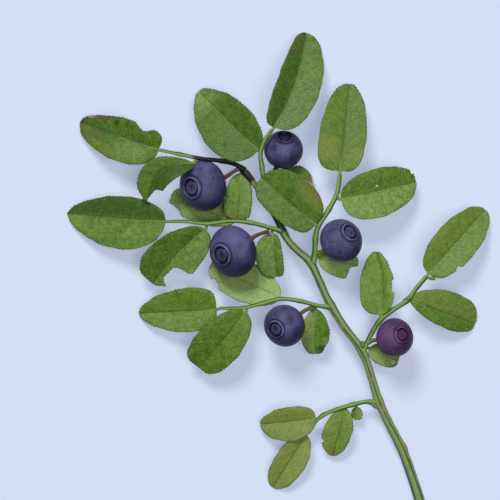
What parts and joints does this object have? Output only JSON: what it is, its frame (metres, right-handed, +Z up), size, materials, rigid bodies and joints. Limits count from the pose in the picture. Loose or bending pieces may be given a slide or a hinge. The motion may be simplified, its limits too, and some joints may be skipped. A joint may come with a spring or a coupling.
{
  "type": "blueberry sprig",
  "caption": "Cut sprig of bilberry, the European blueberry: a ridged green stem with side shoots, small toothed leaves and single blue berries, lying flat.",
  "frame": {"origin": "middle of the sprig's footprint, on the surface that it lies on", "axes": "+Y from the cut end of the stem towards the top leaf, +X across the sprig, +Z up from the surface"},
  "size_m": [0.0848, 0.0968, 0.0139],
  "materials": {
    "stem": "green woody stem, ridged, faintly mottled, satin",
    "shoot": "soft green shoot, satin",
    "leaf": "veined green blade with a fine toothed edge, satin",
    "stalk": "reddish brown berry stalk, satin",
    "berry": "dark indigo skin under a pale waxy bloom",
    "ripening_berry": "purple skin under a pale waxy bloom",
    "bud": "green and brown bud scales, matt"
  },
  "bodies": {
    "root": {"main_stem": "stem", "shoot_low_left": "shoot", "shoot_low_right": "shoot", "shoot_mid_left": "shoot", "shoot_mid_right": "shoot", "shoot_high_left": "shoot", "shoot_top": "shoot", "shoot_tip_left": "shoot", "berry_tip_left": "berry", "stalk_tip_left": "stalk", "berry_high_left": "berry", "stalk_high_left": "stalk", "berry_top": "berry", "stalk_top": "stalk", "berry_mid_right": "berry", "stalk_mid_right": "stalk", "berry_mid_left": "berry", "stalk_mid_left": "stalk", "berry_low_right": "ripening_berry", "stalk_low_right": "stalk", "leaf_low_left_1": "leaf", "leaf_low_left_2": "leaf", "leaf_low_left_3": "leaf", "leaf_low_left_4": "leaf", "leaf_low_right_1": "leaf", "leaf_low_right_2": "leaf", "leaf_low_right_3": "leaf", "leaf_low_right_4": "leaf", "leaf_mid_left_1": "leaf", "leaf_mid_left_2": "leaf", "leaf_mid_left_3": "leaf", "leaf_mid_left_4": "leaf", "leaf_mid_right_1": "leaf", "leaf_mid_right_2": "leaf", "leaf_mid_right_3": "leaf", "leaf_mid_right_4": "leaf", "leaf_high_left_1": "leaf", "leaf_high_left_2": "leaf", "leaf_high_left_3": "leaf", "leaf_high_left_4": "leaf", "leaf_top_1": "leaf", "leaf_top_2": "leaf", "leaf_top_3": "leaf", "leaf_tip_left_1": "leaf", "leaf_tip_left_2": "leaf", "leaf_tip_left_3": "leaf", "bud_stem_low": "bud", "bud_stem_middle": "bud", "bud_right_axil": "bud", "bud_right_tip": "bud", "bud_mid_right": "bud"}
  },
  "joints": []
}
